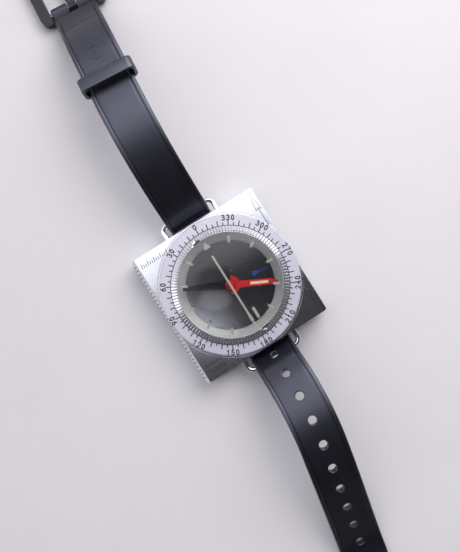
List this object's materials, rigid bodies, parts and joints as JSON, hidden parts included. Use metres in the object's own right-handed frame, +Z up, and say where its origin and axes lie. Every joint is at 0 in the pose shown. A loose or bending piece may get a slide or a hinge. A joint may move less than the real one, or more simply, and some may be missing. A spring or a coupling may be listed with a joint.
{
  "type": "wrist compass",
  "caption": "Wrist compass: square metal case with one ruled edge, turning liquid-filled degree dial with magnetic needle, wire lugs, one-piece rubber strap with loose keeper and plastic buckle.",
  "frame": {"origin": "on the underside of the strap, below the dial's axis, where the compass rests on a table", "axes": "+Z up out of the dial, +Y the direction of travel towards the buckle, +X to the right of it"},
  "size_m": [0.0429, 0.2144, 0.0223],
  "materials": {
    "case_metal": "fine satin, turned and milled",
    "bezel_metal": "pale matt anodised",
    "ring_metal": "bright machined flutes",
    "cup_metal": "light grey enamel",
    "spring_steel": "bright",
    "wire_chrome": "polished",
    "screw_steel": "bright zinc",
    "washer_nylon": "natural nylon",
    "strap_rubber": "smooth moulded",
    "seal_rubber": "soft moulded",
    "crystal_clear": "clear polished",
    "bearing_brass": "turned",
    "jewel_red": "polished stone",
    "needle_red": "gloss lacquer",
    "needle_black": "gloss lacquer",
    "lume_cream": "aged luminous paint",
    "lume_green": "luminous paint",
    "arrow_blue": "printed foil",
    "floor_dark": "polished dark",
    "buckle_black": "moulded satin"
  },
  "bodies": {
    "case": {"case_plate": "case_metal", "case_back": "case_metal", "back_screws": "screw_steel", "lug_wire_front": "wire_chrome", "lug_wire_rear": "wire_chrome", "friction_washer": "washer_nylon", "strap": "strap_rubber"},
    "dial": {"capsule_cup": "cup_metal", "degree_bezel": "bezel_metal", "crystal_ring": "ring_metal", "crystal": "crystal_clear", "luminous_markers": "lume_green", "orienting_line": "lume_green", "side_bar": "lume_green", "meridian_arrow": "arrow_blue", "capsule_floor": "floor_dark", "crystal_gasket": "seal_rubber", "diaphragm_ring": "bearing_brass", "expansion_diaphragm": "seal_rubber", "fill_plug": "bearing_brass", "pivot_boss": "bearing_brass", "pivot_pin": "spring_steel", "retaining_clip": "spring_steel"},
    "needle": {"needle_north": "needle_red", "needle_lume": "lume_cream", "needle_south": "needle_black", "needle_hub": "needle_red", "pivot_jewel": "jewel_red"},
    "keeper": {"strap_keeper": "strap_rubber"},
    "buckle": {"buckle_frame": "buckle_black", "buckle_bar": "spring_steel"},
    "tongue": {"buckle_tongue": "buckle_black"}
  },
  "joints": [
    {"name": "dial_turn", "type": "hinge", "parent": "case", "child": "dial", "pos_m": [0, 0, 0.01], "axis": [0, 0, 1], "continuous": true},
    {"name": "needle_swing", "type": "hinge", "parent": "dial", "child": "needle", "pos_m": [0, 0, 0.0103], "axis": [0, 0, 1], "continuous": true},
    {"name": "keeper_slide", "type": "slide", "parent": "case", "child": "keeper", "axis": [0.0898, 0.9863, -0.1386], "range_m": [-0.003, 0.003]},
    {"name": "buckle_hinge", "type": "hinge", "parent": "case", "child": "buckle", "pos_m": [0.0047, 0.09868, 0.00207], "axis": [0.9959, -0.0906, 0], "range_deg": [-30, 40]},
    {"name": "tongue_hinge", "type": "hinge", "parent": "buckle", "child": "tongue", "pos_m": [0.0047, 0.09868, 0.00207], "axis": [0.9959, -0.0906, 0], "range_deg": [0, 65]}
  ]
}
